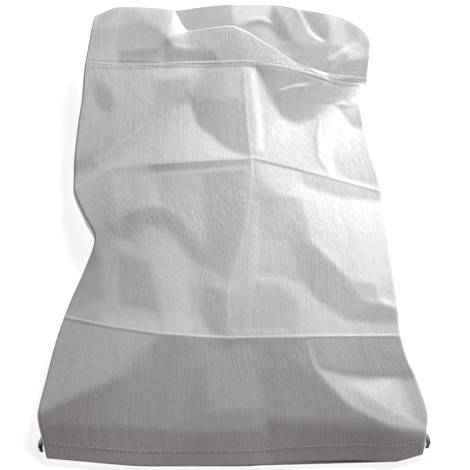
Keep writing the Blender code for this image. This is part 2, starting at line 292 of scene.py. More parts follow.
def inside_of(places, outline, softness):
    """1 inside an outline and 0 outside: the distance to its nearest side, eased over the softness."""
    outline = np.array(outline, dtype=float)
    nearest = np.full(places.shape[:-1], np.inf)
    odd = np.zeros(places.shape[:-1], dtype=bool)
    x, y = places[..., 0], places[..., 1]
    for (ax, ay), (bx, by) in zip(outline, np.roll(outline, -1, axis=0)):
        along = ((x - ax) * (bx - ax) + (y - ay) * (by - ay)) / ((bx - ax) ** 2 + (by - ay) ** 2)
        along = np.clip(along, 0, 1)
        nearest = np.minimum(nearest, np.hypot(x - ax - along * (bx - ax), y - ay - along * (by - ay)))
        crossing = (ay > y) != (by > y)
        odd ^= crossing & (x < ax + (y - ay) * (bx - ax) / np.where(by == ay, TINY, by - ay))
    signed = np.where(odd, nearest, -nearest)
    f = np.clip(0.5 + signed / (2.0 * softness), 0.0, 1.0)
    return f * f * (3.0 - 2.0 * f)


def hem_station(s, lengths):
    """Turns metres along the cloth into the station of panel(): its hem runs from 0 to 2.2."""
    knots = np.cumsum((0.0, NECK_END) + lengths)
    hem = (NECK_END + HEM_START, NECK_END + HEM_SECOND_ROW, NECK_END + HEM_END)
    return np.interp(s, knots, (0.0, NECK_END) + hem)


def heights_from_leans(cloth, facets, held, firm):
    """The relief r that makes (lean - wanted)² + SIDEWAYS_WEIGHT·(slope across)² + firm·r² least, 0 where held.

    Conjugate gradients find it, eased by the answer on an even plane. Each turn looks the outlines up again
    on the raised cloth.
    """
    sine, cosine = math.sin(math.radians(WINDOW_AZIMUTH)), math.cos(math.radians(WINDOW_AZIMUTH))
    x_u, y_u = (np.gradient(cloth[..., k], axis=1) for k in (0, 1))
    x_v, y_v = (np.gradient(cloth[..., k], axis=0) for k in (0, 1))
    area = np.maximum(x_u * y_v - y_u * x_v, 0.1 * GRID_STEP**2)
    lean_u, lean_v = -(sine * y_v - cosine * x_v) / area, -(cosine * x_u - sine * y_u) / area
    side_u, side_v = (cosine * y_v + sine * x_v) / area, -(sine * x_u + cosine * y_u) / area
    free = ~held

    def slopes(height):
        """Rise towards the window and across it, from the steps to the next column and row."""
        step_u = np.diff(height, axis=1, append=height[:, -1:])
        step_v = np.diff(height, axis=0, append=height[-1:])
        return lean_u * step_u + lean_v * step_v, side_u * step_u + side_v * step_v

    def pulls(lean, side):
        """The transpose of slopes(): how much each height is pulled by leans and side slopes."""
        along_u, along_v = lean_u * lean + side_u * side, lean_v * lean + side_v * side
        along_u[:, -1], along_v[-1] = 0.0, 0.0
        total = -along_u - along_v
        total[:, 1:] += along_u[:, :-1]
        total[1:] += along_v[:-1]
        return total * free

    def stiffness(height):
        """The sum to be made least, as a matrix times the heights."""
        lean, side = slopes(height)
        return pulls(weight * lean, SIDEWAYS_WEIGHT * side) + firm * height * free

    rows, columns = held.shape
    ky = 2 * np.pi * np.fft.fftfreq(rows + PADDING, GRID_STEP)[:, None]
    kx = 2 * np.pi * np.fft.rfftfreq(columns + PADDING, GRID_STEP)[None, :]
    softening = (kx * sine + ky * cosine)**2 + SIDEWAYS_WEIGHT * (kx * cosine - ky * sine)**2 + 1.0 / REACH**2

    def eased(residual):
        """The residual divided by the stiffness of an even plane."""
        field = np.zeros((rows + PADDING, columns + PADDING))
        field[:rows, :columns] = residual
        return np.fft.irfft2(np.fft.rfft2(field) / softening, field.shape)[:rows, :columns] * free

    own_lean = slopes(cloth[..., 2])[0]
    relief = np.zeros((rows, columns))
    for _ in range(OUTLINE_TURNS):
        spots = picture_place(cloth + relief[..., None] * (0.0, 0.0, 1.0))
        bare, wanted = np.ones((rows, columns)), np.zeros((rows, columns))
        for name, lean, softness, outline in facets:
            share = inside_of(spots, outline, softness)
            bare, wanted = bare * (1.0 - share), wanted * (1.0 - share) + lean * share
        weight = 1.0 - (1.0 - BARE_WEIGHT) * bare
        residual = pulls(weight * (wanted - own_lean * (1.0 - bare)), 0.0 * own_lean) - stiffness(relief)
        direction = eased(residual)
        energy = np.sum(residual * direction)
        for _ in range(SOLVER_STEPS):
            stiff = stiffness(direction)
            length = energy / np.sum(direction * stiff)
            relief, residual = relief + length * direction, residual - length * stiff
            gentle = eased(residual)
            energy, before = np.sum(residual * gentle), energy
            direction = gentle + energy / before * direction
    reached = slopes(relief)[0] + own_lean
    for name, lean, softness, outline in facets:
        share = inside_of(spots, outline, softness) * (np.abs(wanted - lean) < OWN_LEAN)
        mean = float(np.sum(share * reached) / max(np.sum(share), TINY))
        print("   ", name, "asked", lean, "reached", round(mean, 3))
    return relief


def read_at(grid, places, u):
    """A grid's values at metres along the cloth and at u across it, by weighing the four neighbours."""
    rows, columns = np.broadcast_arrays(places / grid_s[1], (u + 1.0) / 2.0 * (len(grid_u) - 1))
    r = np.clip(rows.astype(int), 0, len(grid) - 2)
    c = np.clip(columns.astype(int), 0, grid.shape[1] - 2)
    down, right = (rows - r)[..., None], (columns - c)[..., None]
    near = grid[r, c] * (1 - right) + grid[r, c + 1] * right
    far = grid[r + 1, c] * (1 - right) + grid[r + 1, c + 1] * right
    return near * (1 - down) + far * down


def strip(width, *points):
    """An outline of constant width round a line of points."""
    line = np.array(points, dtype=float)
    step = np.gradient(line, axis=0)
    across = np.column_stack([-step[:, 1], step[:, 0]]) / np.linalg.norm(step, axis=1, keepdims=True)
    return np.concatenate([line + across * width / 2, line[::-1] - across[::-1] * width / 2])


# %% [markdown]
# ## The facets of the upper panel
# Each line is a facet: its name, its lean, how soft its edge is and its outline, both in
# pixels of the picture. A later facet lies over an earlier one. Creases and wrinkles are
# narrow strips, a light one beside a dark one.

# %% Facets of the upper panel
FACETS = (
    ("foot_third", -0.165, 2.0,
     ((20, 300), (64, 317), (158, 334), (226, 338), (398, 336), (450, 336), (450, 480), (20, 480))),
    ("foot_left_flap", -0.01, 5.0, ((50, 310), (158, 336), (121, 376), (40, 414), (20, 400))),
    ("foot_centre_streak", -0.105, 6.0, ((204, 350), (262, 344), (256, 410), (204, 415))),
    ("foot_top_right", -0.095, 3.0, ((310, 338), (398, 338), (412, 368), (396, 376), (340, 370), (314, 364))),
    ("foot_band", -0.24, 4.0,
     ((20, 424), (130, 427), (200, 434), (262, 430), (270, 414), (330, 420), (372, 424), (392, 432), (450, 440),
      (450, 480), (20, 480))),
    ("foot_band_right", -0.30, 4.0, ((268, 422), (300, 426), (390, 434), (450, 450), (450, 480), (266, 480))),
    ("foot_wedge", 0.04, 2.5, ((316, 368), (345, 376), (400, 379), (414, 397), (430, 432), (392, 427), (349, 406))),
    ("foot_wedge_core", 0.15, 4.0, ((350, 384), (400, 378), (404, 410), (420, 424), (390, 412))),
    ("foot_corner", -0.03, 2.5, ((401, 381), (416, 379), (432, 412), (422, 425), (408, 400))),
    ("middle_left", 0.03, 8.0, ((60, 193), (108, 167), (112, 228), (135, 240), (158, 262), (161, 333), (50, 317))),
    ("middle_centre", 0, 3.0,
     ((112, 168), (252, 158), (247, 230), (228, 287), (227, 337), (161, 333), (158, 262), (112, 228))),
    ("middle_left_edge", -0.04, 5.0, ((90, 247), (104, 262), (102, 300), (50, 320))),
    ("left_facet", -0.01, 2.0, ((60, 193), (108, 167), (112, 230), (85, 238))),
    ("middle_left_dark", -0.06, 4.0, ((118, 252), (150, 262), (159, 313), (118, 305))),
    ("middle_left_low", 0.09, 4.0, ((104, 316), (158, 322), (160, 334), (104, 327))),
    ("left_streak", 0.0, 2.5, ((109, 243), (115, 243), (114, 312), (108, 312))),
    ("arch", -0.085, 4.0,
     ((118, 240), (126, 216), (142, 206), (162, 206), (180, 220), (197, 240), (214, 266), (196, 266), (180, 245),
      (164, 226), (146, 226), (134, 240))),
    ("under_arch", 0.04, 4.0, ((138, 238), (148, 230), (162, 234), (190, 262), (198, 285), (160, 285), (152, 262))),
    ("middle_left_of_fold", -0.07, 6.0, ((202, 166), (246, 166), (242, 232), (228, 287), (206, 262), (204, 230))),
    ("fold_dent", -0.125, 5.0, ((206, 286), (226, 292), (226, 335), (210, 335), (198, 312))),
    ("middle_bright", 0.06, 3.0, ((161, 268), (180, 268), (190, 300), (192, 333), (161, 333))),
    ("right_of_fold", -0.015, 3.0,
     ((252, 158), (330, 172), (300, 260), (300, 336), (228, 338), (228, 287), (246, 232))),
    ("middle_right", 0.05, 6.0,
     ((296, 190), (400, 190), (400, 300), (372, 296), (352, 284), (335, 262), (312, 238), (300, 215))),
    ("middle_right_low", 0.03, 5.0, ((300, 300), (400, 318), (400, 337), (300, 337))),
    ("whitish_patch", 0.05, 5.0, ((256, 164), (296, 166), (308, 176), (330, 190), (292, 200), (262, 184))),
    ("diagonal_dark", -0.08, 4.0,
     ((290, 238), (312, 243), (342, 272), (364, 298), (400, 311), (400, 324), (350, 322), (318, 303), (300, 280))),
    ("arc_light", 0.05, 3.0,
     ((254, 276), (284, 276), (300, 286), (320, 304), (306, 310), (292, 296), (280, 285), (256, 283))),
    ("upper_left", 0.0, 4.0, ((60, 193), (84, 60), (250, 62), (252, 158), (108, 168))),
    ("left_dent", -0.10, 4.0, ((96, 80), (104, 84), (114, 100), (110, 112), (100, 112), (94, 95))),
    ("diagonal_groove", -0.16, 5.0,
     ((187, 76), (188, 94), (172, 110), (150, 127), (116, 155), (95, 168), (70, 178), (72, 166), (100, 145),
      (125, 125), (150, 100), (160, 82))),
    ("bright_triangle", 0.12, 4.0,
     ((172, 112), (187, 103), (200, 116), (228, 140), (246, 158), (108, 169), (120, 160), (150, 135))),
    ("crease_left", -0.06, 2.5, ((190, 98), (247, 100), (251, 158), (226, 149), (196, 124))),
    ("crease_right", 0.035, 2.5,
     ((246, 63), (254, 65), (264, 85), (270, 105), (283, 117), (300, 124), (316, 118), (330, 104), (361, 90),
      (390, 190), (291, 167), (252, 158), (250, 125))),
    ("hollow_triangle", -0.14, 3.5,
     ((262, 66), (300, 72), (350, 84), (345, 96), (331, 106), (312, 122), (296, 125), (282, 118), (271, 98))),
    ("right_facet", -0.20, 2.0, ((338, 106), (364, 102), (367, 134), (350, 128))),
    ("right_groove", 0.0, 3.0, ((306, 120), (316, 122), (318, 150), (330, 170), (314, 176), (306, 150))),
    ("hem_lobe", 0.025, 3.0,
     ((80, 66), (80, 45), (95, 10), (141, -2), (166, 6), (190, 30), (168, 39), (160, 50), (137, 52), (134, 66))),
    ("hem_lobe_top", 0.1, 4.0,
     ((90, 12), (115, 0), (141, -2), (166, 6), (174, 20), (158, 28), (140, 20), (120, 27), (92, 30))),
    ("lobe_band", 0.12, 2.5, ((138, 2), (166, 7), (186, 22), (192, 32), (168, 39), (160, 29), (147, 18), (134, 10))),
    ("hem_bright_facet", 0.2, 1.5, ((167, 39.5), (174, 12), (182, 14), (193, 32))),
    ("hem_dark", -0.19, 3.0, ((160, 50), (168, 48), (214, 51), (222, 64), (160, 66))),
    ("hem_dark_left", -0.09, 3.0, ((120, 52), (137, 51), (164, 49), (164, 66), (118, 66))),
    ("hem_centre", -0.09, 2.0, ((166, 41), (188, 31), (236, 23), (246, 64), (222, 64), (212, 49))),
    ("hem_triangle", -0.06, 3.0, ((236, 23), (334, 78), (291, 68), (246, 64))),
    ("lip_light", 0.14, 1.0, strip(4.0, (238, 27.5), (262, 36), (290, 51), (312, 66), (326, 76))),
    ("right_of_fold_top", -0.06, 5.0, ((258, 196), (300, 198), (310, 244), (262, 240))),
    ("above_lower_crease", 0.04, 2.0, strip(5.0, (232, 331.5), (262, 331), (288, 331))),
    ("right_low_shade", -0.05, 3.0, ((354, 282), (374, 284), (378, 300), (362, 298))),
    ("foot_mid_right", -0.19, 5.0, ((268, 366), (312, 368), (330, 392), (338, 420), (268, 412))),
    ("crease_right_streak", 0.13, 2.0, strip(7.0, (251, 68), (256, 95), (259, 120), (260, 150))),
    ("neck_right_end", -0.18, 2.0, ((340, 77), (366, 79), (364, 88), (342, 88))),
    ("right_below_neck", -0.12, 2.0, ((340, 86), (372, 84), (372, 106), (346, 106))),
    ("under_crease_left", 0.08, 4.0, ((112, 173), (158, 170), (160, 205), (128, 212), (114, 228))),
    ("below_crease_right", -0.05, 3.0, ((300, 172), (340, 182), (384, 193), (386, 202), (340, 198), (304, 186))),
    ("above_crease_right", -0.06, 4.0, ((336, 125), (366, 130), (378, 168), (384, 190), (340, 178), (332, 160))),
    ("middle_streak", 0.03, 2.0, strip(5.0, (256, 200), (256, 250), (250, 300), (248, 334))),
    ("lower_crease_line", 0.15, 0.7,
     strip(1.8, (62, 316), (108, 325.5), (155, 332.5), (200, 336), (228, 337.5), (270, 336.5), (330, 335.5),
           (400, 335))),
    ("lower_crease_shade", -0.18, 0.7,
     strip(1.8, (64, 319), (108, 328), (155, 335), (200, 338.5), (228, 340), (270, 339), (330, 338), (399, 338))),
    ("upper_crease_line", 0.10, 0.6,
     strip(1.7, (72, 192), (90, 179), (108, 167), (155, 162.8), (200, 160), (252, 157), (270, 160))),
    ("upper_crease_line_right", 0.04, 0.6, strip(1.6, (268, 160), (291, 166), (340, 179), (384, 191))),
    ("upper_crease_shade", -0.12, 1.0, strip(2.6, (150, 166.4), (200, 163.4), (250, 160.4))),
    ("upper_crease_shade_right", -0.12, 0.8, strip(2.4, (254, 160), (291, 168.6), (340, 181.6), (383, 193.6))),
    ("upper_crease_band", -0.08, 2.0, strip(7.0, (150, 170), (200, 167.5), (248, 164.5))),
    ("upper_crease_echo", 0.05, 1, strip(2.5, (110, 177), (155, 174), (205, 171), (250, 167))),
    ("centre_line_high", 0.13, 0.6, strip(1.7, (244, 66), (246, 100), (247.5, 126), (252, 157))),
    ("centre_shade_high", -0.1, 0.8, strip(2, (241.5, 68), (243.5, 100), (245, 126), (249.5, 155))),
    ("centre_line_low", 0.05, 0.8, strip(1.8, (252, 160), (250, 195), (243, 235), (229, 287), (228.5, 336))),
    ("centre_shade_low", -0.08, 0.8, strip(1.8, (249.5, 162), (247.5, 195), (240.5, 235), (226.4, 287), (226, 335))),
    ("foot_ridge", 0.06, 1.2, strip(2.5, (308, 341), (310, 352), (314, 364), (330, 384), (350, 402), (392, 424))),
    ("foot_ridge_shade", -0.16, 1.5, strip(4, (304, 343), (305, 354), (309, 366), (325, 387), (345, 406))),
    ("left_fold_line", 0.05, 0.8, strip(2.0, (108, 169), (111, 200), (112, 228))),
    ("neck_wrinkle", 0.07, 1, strip(2.2, (281, 90), (293, 86), (307, 84))),
    ("right_wrinkle", 0.09, 1, strip(2.2, (331, 105), (322, 118), (318, 136), (320, 157), (330, 171))),
    ("right_wrinkle_shade", -0.1, 1.2, strip(3, (328, 105), (318, 118), (314.5, 136), (316, 157), (326, 172))),
    ("left_wrinkle", 0.05, 1.5, strip(2.5, (96, 163), (118, 146), (150, 121), (172, 102), (186, 86))),
    ("seam_shade", -0.09, 0.9,
     strip(1.8, (88, 67.5), (134.6, 69), (187, 66.5), (247, 65.2), (291.5, 71), (338, 87.5))),
    ("seam_light", 0.05, 0.9, strip(1.8, (89, 63.5), (134.6, 65), (187, 62.5), (247, 61), (291.5, 66.5), (330, 79))),
)
print("facets", len(FACETS))

# %% [markdown]
# ## Pressing the facets in
# The foot stays where it is. The two side folds and the rim are held by a spring, so that
# they move a little and no step forms there.

# %% Press the facets into the upper panel
upper_grid = with_foot_wave(panel(UPPER_BODY, UPPER_SEAM, UPPER_RIM, hem_station(grid_s, HEM_LENGTHS), grid_u))
held = np.zeros(upper_grid.shape[:2], dtype=bool)
held[0] = True
firm = np.full(upper_grid.shape[:2], 1.0 / REACH**2)
firm[:, (0, -1)] = 1.0 / FOLD_REACH**2 / GRID_STEP * SIDE_BAND
firm[grid_s > CLOTH_LENGTH - RIM_BAND] = 1.0 / RIM_REACH**2
relief = heights_from_leans(upper_grid, FACETS, held, firm)
upper_grid[..., 2] += relief
print("relief from", round(relief.min() * 1000, 1), "to", round(relief.max() * 1000, 1), "mm")

# %% [markdown]
# ## The inside of the mouth
# The front edge has dropped on the right, so the inside of the lower panel shows. It has its
# own facets, found in the same way from its neck to its edge. Where a panel would come through
# the other one, it is held a little away from it, and behind the front edge the inside may
# rise no steeper than STEEPEST.

# %% Facets of the lower panel
INSIDE_FACETS = (
    ("level", -0.10, 3.0, ((158, -10), (236, -10), (236, 29), (205, 33), (186, 34), (168, 16))),
    ("right_half", -0.10, 3.0, ((232, -10), (400, -10), (400, 100), (345, 94), (322, 82), (238, 30), (232, 29))),
    ("light_streaks", 0.06, 1.5, ((232, -5), (277, -2), (280, 14), (262, 19), (240, 21), (233, 24))),
    ("below_arc", -0.06, 1.5, ((234, 24), (262, 19), (275, 40), (285, 70), (240, 70))),
    ("wedge_shade", -0.19, 1.0, ((275, 4), (283, 22), (296, 46), (280, 40), (266, 22))),
    ("ridge_light", -0.18, 1.5, ((291, 2), (299, 8), (314, 25), (329, 41), (322, 45), (306, 30), (292, 12))),
    ("hollow", -0.17, 1.0, ((307, 12), (322, 14), (330, 24), (330, 40), (318, 32), (306, 20))),
    ("right_light", -0.04, 1.2, ((329, 15), (352, 24), (342, 46), (331, 46))),
    ("bump_light", -0.02, 1.2, ((342, 44), (354, 41), (366, 46), (363, 60), (350, 60))),
    ("low_shade", -0.15, 3.0, ((285, 44), (338, 46), (346, 62), (340, 80), (300, 80))),
    ("low_right", -0.16, 2.5, ((342, 64), (372, 56), (366, 86), (346, 84))),
    ("far_right", -0.06, 2.5, ((352, 24), (372, 40), (372, 60), (362, 46))),
    ("right_dent", -0.14, 1.2, ((345, 23), (357, 27), (356, 38), (347, 34))),
    ("ridge_line", 0.15, 0.8, strip(2.2, (293, 2), (299, 12), (304, 22), (309, 31), (316, 38), (323, 42))),
    ("arc_line", 0.12, 1.0, strip(2.4, (239, 25), (246, 20.5), (255, 18.5), (264, 19), (271, 23))),
    ("arc_shade", -0.16, 1.2, strip(4.0, (243, 29), (250, 25), (258, 23), (266, 25), (273, 31))),
    ("low_ridge", 0.10, 1.2, strip(3.0, (330, 60), (340, 52), (348, 47))),
)
print("facets inside", len(INSIDE_FACETS))

# %% Press the facets into the lower panel's hem
below_grid = with_foot_wave(panel(LOWER_BODY, LOWER_SEAM, LOWER_RIM, hem_station(grid_s, HEM_LENGTHS), grid_u))
neck = int(round(NECK_END / grid_s[1]))
held = np.zeros(below_grid[neck:].shape[:2], dtype=bool)
held[:, (0, -1)] = True
held[0] = True
firm = np.full(held.shape, 1.0 / REACH**2)
firm[grid_s[neck:] > CLOTH_LENGTH - RIM_BAND] = 1.0 / RIM_REACH**2
inside_relief = heights_from_leans(below_grid[neck:], INSIDE_FACETS, held, firm)
below_grid[neck:, :, 2] += inside_relief
print("relief inside from", round(inside_relief.min() * 1000, 1), "to", round(inside_relief.max() * 1000, 1), "mm")


def heights_beside(grid, other):
    """The other grid's heights where this grid's points are along the sack, column by column."""
    return np.stack([np.interp(grid[:, k, 1], other[:, k, 1], other[:, k, 2]) for k in range(len(grid_u))], axis=1)


over = heights_beside(below_grid, upper_grid)
beyond = np.maximum(below_grid[..., 1] - upper_grid[-1, :, 1], 0.0)
allowed = over - LEAST_GAP + STEEPEST * beyond
below_grid[neck:, :, 2] = np.minimum(below_grid[neck:, :, 2], allowed[neck:])
under = heights_beside(upper_grid, below_grid)
upper_grid[..., 2] = np.maximum(upper_grid[..., 2], under + LEAST_GAP)

# %% [markdown]
# ## The points of the mesh
# The even grid is too fine to keep, so the mesh reads its points off it. Each point takes its
# place on the flat cloth along, because the weave has to follow the cloth round its folds.

# %% Pick the points of the mesh
FLAT_HALF_WIDTH = 0.29


def with_places(grid):
    """The grid's points, each with its place on the flat cloth too: metres across and metres along."""
    across = np.broadcast_to(grid_u * FLAT_HALF_WIDTH, grid.shape[:2])
    along = np.broadcast_to(grid_s[:, None], grid.shape[:2])
    return np.concatenate([grid, across[..., None], along[..., None]], axis=2)


upper_grid, below_grid = with_places(upper_grid), with_places(below_grid)
upper = read_at(upper_grid, along_creases(S, U), U)
lower = read_at(below_grid, along_creases(S[:HEM_ROW], U_BELOW), U_BELOW)
lower_hem = read_at(below_grid, along_creases(S[HEM_ROW:], U_BELOW_HEM), U_BELOW_HEM)
print("upper panel", upper.shape, "lower panel", lower.shape, "and its hem", lower_hem.shape)

# %% [markdown]
# ## The cloth as one closed mesh
# Each skin is a fine grid for the upper panel and coarser grids for the lower one, which share
# the points of the two side folds. The inner skin lies just inside the outer one, and a rim
# joins them round the mouth. A Solidify modifier would make the unseen inside just as fine.

# %% Mesh tools
CLOTH = 0.0008
FOLD_ROUNDNESS = 0.8
FOLD_BULGE = 0.003
FOLD_TURNS = (math.pi / 4, math.pi / 2, 3 * math.pi / 4)
FOLD_LINES = len(FOLD_TURNS)
FIRST_INSIDE_ROW = 18
INSIDE_ROW_STEP = 6
NEAR_COLUMNS = 2


def quads(index, flip=False):
    """Quads of a grid of point numbers."""
    faces = np.stack([index[:-1, :-1], index[:-1, 1:], index[1:, 1:], index[1:, :-1]], axis=-1).reshape(-1, 4)
    return (faces[:, ::-1] if flip else faces).tolist()


def widened(coarse_row, fine_row, times, flip=False):
    """Faces between a coarse row of points and one with times as many steps."""
    steps = np.arange(len(coarse_row) - 1)
    fan = fine_row[steps[:, None] * times + np.arange(times, -1, -1)]
    faces = np.column_stack([coarse_row[:-1], coarse_row[1:], fan])
    return (faces[:, ::-1] if flip else faces).tolist()


def add_mesh(name, points, faces, slot_name):
    """A mesh object from arrays, shaded smooth; a fourth and fifth column are kept as the place on the cloth."""
    mesh = bpy.data.meshes.new(name)
    mesh.from_pydata(points[:, :3].tolist(), [], faces)
    mesh.validate()
    if points.shape[1] > 3:
        place = mesh.attributes.new("cloth_place", "FLOAT_VECTOR", "POINT")
        place.data.foreach_set("vector", np.column_stack([points[:, 3:], 0.0 * points[:, 0]]).ravel())
    mesh.shade_smooth()
    piece = placed(name, mesh)
    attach(piece, "root")
    return piece


def side_points(top, bottom, side):
    """Lines of points round a side fold: half an ellipse from the upper panel's edge to the lower one's."""
    column = 0 if side < 0 else -1
    middle = (top[:, column] + bottom[:, column]) / 2
    half = (top[:, column] - bottom[:, column]) / 2
    bulge = np.minimum(np.abs(half[:, 2]) * FOLD_ROUNDNESS, FOLD_BULGE)
    out = np.outer(side * bulge, (1.0, 0.0, 0.0, 0.0, 0.0))
    return [middle + half * math.cos(turn) + out * math.sin(turn) for turn in FOLD_TURNS]


class Skin:
    """Points and numbering of one skin: upper panel with both side folds, lower panel, lower hem."""

    def __init__(self, points, top, bottom, hem, lift):
        edge = np.concatenate([bottom[:, (0, -1)], hem[:, (0, -1)]])
        shift = np.array((0.0, 0.0, lift, 0.0, 0.0))
        inward = np.array((abs(lift), 0.0, 0.0, 0.0, 0.0))
        left = [line + inward for line in side_points(top, edge, -1)]
        right = [line - inward for line in side_points(top, edge, 1)]
        wide_top = np.stack(left[::-1] + list((top - shift).transpose(1, 0, 2)) + right, axis=1)
        parts = [wide_top, bottom + shift, hem + shift]
        numbers, first = [], sum(len(p) for p in points)
        for part in parts:
            numbers.append(first + np.arange(part[..., 0].size).reshape(part.shape[:2]))
            first += numbers[-1].size
        self.top, middle, mouth = numbers
        split = len(bottom)
        self.bottom = np.column_stack([self.top[:split, 0], middle, self.top[:split, -1]])
        self.hem = np.column_stack([self.top[split:, 0], mouth, self.top[split:, -1]])
        points.extend(part.reshape(-1, part.shape[-1]) for part in parts)

    def faces(self, flip):
        """All faces of the skin; the outer one faces up on top and down below."""
        last, first = self.bottom[-1], self.hem[0]
        between = widened(last[1:-1], first[1:-1], FINER_BELOW, not flip)
        sides = quads(np.array([last[:2], first[:2]]), not flip) + quads(np.array([last[-2:], first[-2:]]), not flip)
        return quads(self.top, flip) + quads(self.bottom, not flip) + quads(self.hem, not flip) + between + sides


def lowest_nearby(heights, rows, columns):
    """The lowest height within so many rows and columns, so that a coarse skin stays under a fine one."""
    wide = np.pad(heights, ((rows, rows), (columns, columns)), mode="edge")
    wide = np.lib.stride_tricks.sliding_window_view(wide, 2 * rows + 1, axis=0).min(axis=-1)
    return np.lib.stride_tricks.sliding_window_view(wide, 2 * columns + 1, axis=1).min(axis=-1)


# %% Build the cloth
cloth_points = []
outer = Skin(cloth_points, upper, lower, lower_hem, 0.0)
deep_rows = np.arange(FIRST_INSIDE_ROW, HEM_ROW - 2, INSIDE_ROW_STEP)
inside_rows = np.concatenate([deep_rows, np.arange(HEM_ROW, len(S))])
ceiling = upper.copy()
ceiling[:HEM_ROW, :, 2] = lowest_nearby(upper[..., 2], INSIDE_ROW_STEP, NEAR_COLUMNS)[:HEM_ROW]
ceiling = ceiling[inside_rows][:, ::COARSER_INSIDE]
inner = Skin(cloth_points, ceiling, lower[deep_rows], lower_hem, CLOTH)
faces = outer.faces(False) + inner.faces(True)
faces.append(np.concatenate([outer.top[0], outer.bottom[0, -2:0:-1]]).tolist()[::-1])
faces.append(np.concatenate([inner.top[0], inner.bottom[0, -2:0:-1]]).tolist())
inner_rim, outer_rim = inner.top[-1], outer.top[-1]
faces += widened(inner_rim[FOLD_LINES:-FOLD_LINES], outer_rim[FOLD_LINES:-FOLD_LINES], COARSER_INSIDE, True)
for fold in (slice(None, FOLD_LINES + 1), slice(-FOLD_LINES - 1, None)):
    faces += quads(np.array([inner_rim[fold], outer_rim[fold]]), True)
faces += quads(np.array([inner.hem[-1], outer.hem[-1]]))
sack = add_mesh("sack_cloth", np.concatenate(cloth_points), faces, "woven_polypropylene")
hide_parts("woven_sack")
print("triangles", sum(len(f) - 2 for f in faces))

# %% [markdown]
# ## Stitches
# The hem is held by two rows of lockstitch and the foot by one chain stitch. Each stitch is a
# short bead of thread that dips into the cloth at both ends, because beads catch the light as
# thread does. They follow the finished cloth, so they are placed after its shape is known.

# %% Stitch tools
STITCH_LENGTH = 0.0050
STITCH_GAP = 0.0012
THREAD_RADIUS = 0.00045
THREAD_SIDES = 6
STITCH_RINGS = 5
SEAM_END = 0.985
SEAM_POINTS = 700


def seam_line(grid, along, way_out):
    """Points across a panel at one distance along it, and the unit normal there: across x along."""
    u = np.linspace(-SEAM_END, SEAM_END, SEAM_POINTS)
    line = read_at(grid, along, u)[:, :3]
    ahead = (read_at(grid, along + GRID_STEP, u) - read_at(grid, along - GRID_STEP, u))[:, :3]
    normal = np.cross(np.gradient(line, axis=0), ahead)
    return line, way_out * normal / np.linalg.norm(normal, axis=1, keepdims=True)


def rings_of(centres, up, radius):
    """Rings of points round centre lines: centre + r·(cos a·side + sin a·up), one line for each first index."""
    forward = np.gradient(centres, axis=1)
    side = np.cross(forward, up)
    side /= np.linalg.norm(side, axis=-1, keepdims=True)
    turn = np.arange(THREAD_SIDES) * 2.0 * np.pi / THREAD_SIDES
    circle = np.cos(turn)[:, None] * side[:, :, None] + np.sin(turn)[:, None] * up[:, :, None]
    return (centres[:, :, None] + radius * circle).reshape(-1, 3)


def ring_faces(lines, rings):
    """Faces of so many closed tubes of so many rings each, with a cap on both ends."""
    k = np.arange(THREAD_SIDES)
    following = (k + 1) % THREAD_SIDES
    row = np.arange(rings - 1)[:, None] * THREAD_SIDES
    one = [row + k, row + THREAD_SIDES + k, row + THREAD_SIDES + following, row + following]
    one = np.stack(one, axis=-1).reshape(-1, 4)
    start = np.arange(lines)[:, None] * THREAD_SIDES * rings
    sides = (start[:, :, None] + one).reshape(-1, 4)
    caps = np.concatenate([start + k, start + THREAD_SIDES * rings - 1 - k])
    return sides.tolist() + caps.tolist()


def stitches(line, up):
    """Beads along a line: radius r·(0.4 + 0.6·sin πf) and height r·(sin πf - 0.5), f from 0 to 1 over each stitch."""
    arc = np.concatenate([[0.0], np.cumsum(np.linalg.norm(np.diff(line, axis=0), axis=1))])
    starts = np.arange(STITCH_GAP, arc[-1] - STITCH_LENGTH, STITCH_LENGTH + STITCH_GAP)
    f = np.linspace(0.0, 1.0, STITCH_RINGS)
    places = starts[:, None] + f * STITCH_LENGTH
    centres = np.stack([np.interp(places, arc, line[:, k]) for k in range(3)], axis=-1)
    ways = np.stack([np.interp(places, arc, up[:, k]) for k in range(3)], axis=-1)
    centres = centres + ways * THREAD_RADIUS * (np.sin(np.pi * f) - 0.5)[:, None]
    swell = THREAD_RADIUS * (0.4 + 0.6 * np.sin(np.pi * f))[:, None, None]
    return rings_of(centres, ways, swell), ring_faces(len(starts), STITCH_RINGS)


def joined(parts):
    """Several lots of points and faces as one."""
    points, faces = [], []
    for some_points, some_faces in parts:
        first = sum(len(p) for p in points)
        faces += [[first + v for v in face] for face in some_faces]
        points.append(some_points)
    return np.concatenate(points), faces


# %% Hem stitches
hem_pieces = []
for name, node, along in (("hem_stitches_lower", "hem_thread_lower", SEAM_ALONG),
                          ("hem_stitches_upper", "hem_thread_upper", SECOND_SEAM_ALONG)):
    parts = [stitches(*seam_line(upper_grid, along, 1.0)), stitches(*seam_line(below_grid, along, -1.0))]
    hem_pieces.append(add_mesh(name, *joined(parts), "white_thread"))
    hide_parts(node)
    print(name, "stitches", sum(len(points) for points, _ in parts) // (THREAD_SIDES * STITCH_RINGS))

# %% [markdown]
# ## The foot's chain stitch
# A bag closing machine sews with two threads. The needle thread shows as beads on the face. The
# looper thread runs underneath, and its cut ends stay at both corners as dark, frayed tufts.
# Each strand of a tuft leaves the corner, bends and comes to lie on the floor.

# %% Foot threads
TAIL_RINGS = 14
TAIL_LENGTH = 0.008
TAIL_DRIFT = 0.0042
TUFT_STRANDS = 26
TUFT_REACH = 0.024
TUFT_BACK = 0.010
TUFT_OUT = 0.0085
STRAND_RADIUS = 0.00055
CORNER_HEIGHT = 0.0042
CORNER_OUT = 0.0018
ABOVE_FLOOR = 0.0002
UP = (0.0, 0.0, 1.0)


